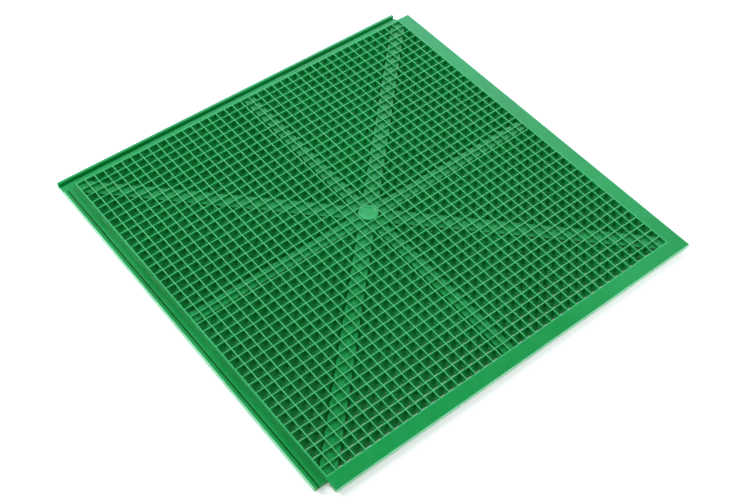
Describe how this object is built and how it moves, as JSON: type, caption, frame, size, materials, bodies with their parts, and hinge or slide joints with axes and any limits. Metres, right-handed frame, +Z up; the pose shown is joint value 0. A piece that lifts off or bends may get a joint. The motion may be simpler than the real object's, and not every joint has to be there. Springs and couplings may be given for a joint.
{
  "type": "queen excluder",
  "caption": "Square queen excluder panel in green plastic: a ribbed grid over bee gaps, with channelled edges on two sides and interlocking flanges on the other two.",
  "frame": {"origin": "middle of the underside of the whole panel, on the surface that it rests on", "axes": "+Z up through the panel, from the floor bars to the rib tops; +X towards the right flange, +Y towards the back flange"},
  "size_m": [0.513, 0.513, 0.01],
  "materials": {
    "green_plastic": "semi-gloss moulded, slightly translucent at thin edges"
  },
  "bodies": {
    "root": {"border_wall_back": "green_plastic", "border_wall_front": "green_plastic", "border_wall_left": "green_plastic", "border_wall_right": "green_plastic", "channel_floor_corner": "green_plastic", "channel_floor_front": "green_plastic", "channel_floor_left": "green_plastic", "channel_lip_front": "green_plastic", "channel_lip_left": "green_plastic", "flange_leg_back": "green_plastic", "flange_leg_right": "green_plastic", "flange_plate_back": "green_plastic", "flange_plate_corner": "green_plastic", "flange_plate_right": "green_plastic", "flange_skirt_back": "green_plastic", "flange_skirt_right": "green_plastic", "flow_leader_back": "green_plastic", "flow_leader_back_left": "green_plastic", "flow_leader_back_right": "green_plastic", "flow_leader_front": "green_plastic", "flow_leader_front_left": "green_plastic", "flow_leader_front_right": "green_plastic", "flow_leader_left": "green_plastic", "flow_leader_right": "green_plastic", "gate_boss": "green_plastic", "leader_hub": "green_plastic", "ribs_along_x": "green_plastic", "ribs_along_y": "green_plastic"}
  },
  "joints": []
}
